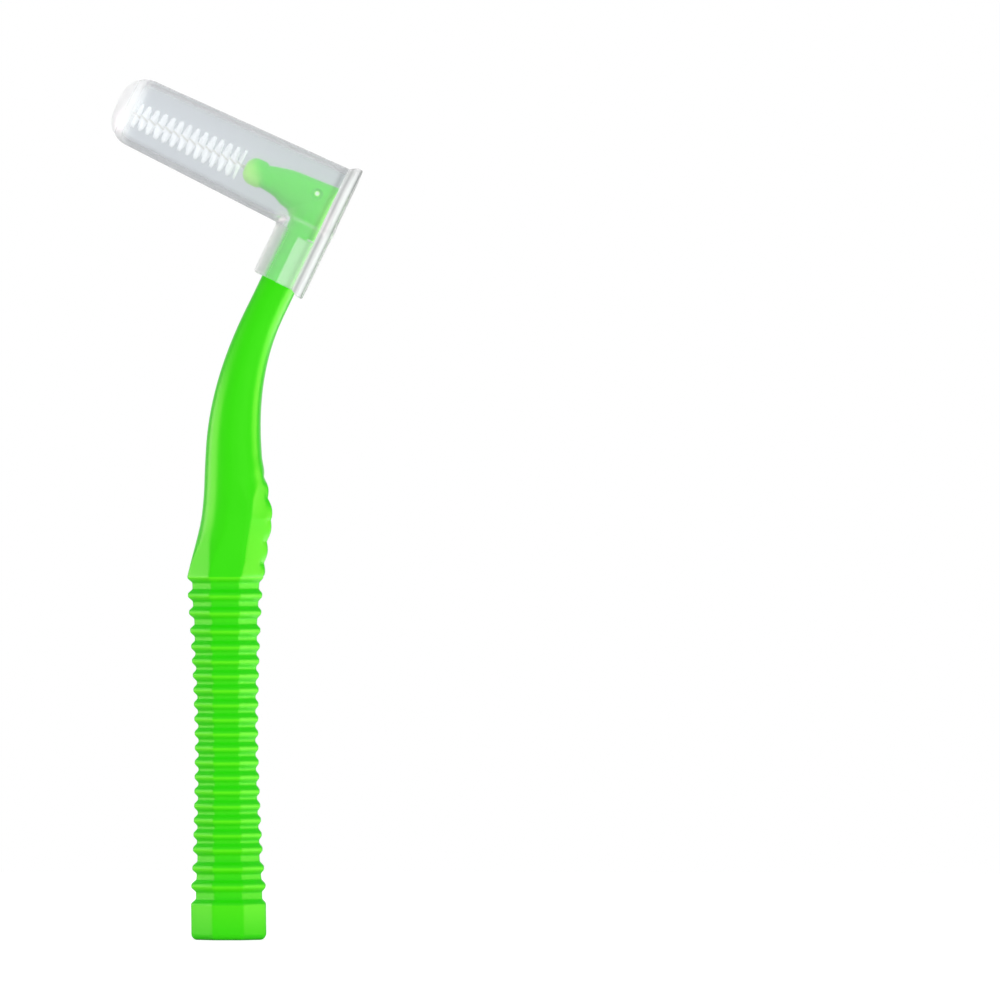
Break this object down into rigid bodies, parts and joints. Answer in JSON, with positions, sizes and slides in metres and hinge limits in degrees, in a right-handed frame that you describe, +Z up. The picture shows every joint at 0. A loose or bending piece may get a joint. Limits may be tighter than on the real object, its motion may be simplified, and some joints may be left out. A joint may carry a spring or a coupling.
{
  "type": "angled interdental brush",
  "caption": "Angled interdental brush with a ribbed grip, a scalloped thumb rest and a twisted-wire brush head under a clear push-on cap.",
  "frame": {"origin": "centre of the flat end face of the handle's foot", "axes": "+Z up along the grip to the brush head, -X towards the tip of the brush, +Y away from the viewer of the picture; the brush is symmetric about the plane y = 0"},
  "size_m": [0.0292, 0.0104, 0.1002],
  "materials": {
    "handle": "glossy moulded green plastic, smooth, a little lighter where light falls on the facets",
    "wire": "bare drawn stainless wire, folded and twisted",
    "bristles": "fine white nylon filaments",
    "cap": "clear, slightly milky moulded plastic"
  },
  "bodies": {
    "brush": {"handle": "handle", "brush_wire": "wire", "bristles": "bristles"},
    "cap": {"cap": "cap"}
  },
  "joints": [
    {"name": "cap_pull", "type": "slide", "parent": "brush", "child": "cap", "axis": [-0.9011, 0, 0.4337], "range_m": [0, 0.03]}
  ]
}
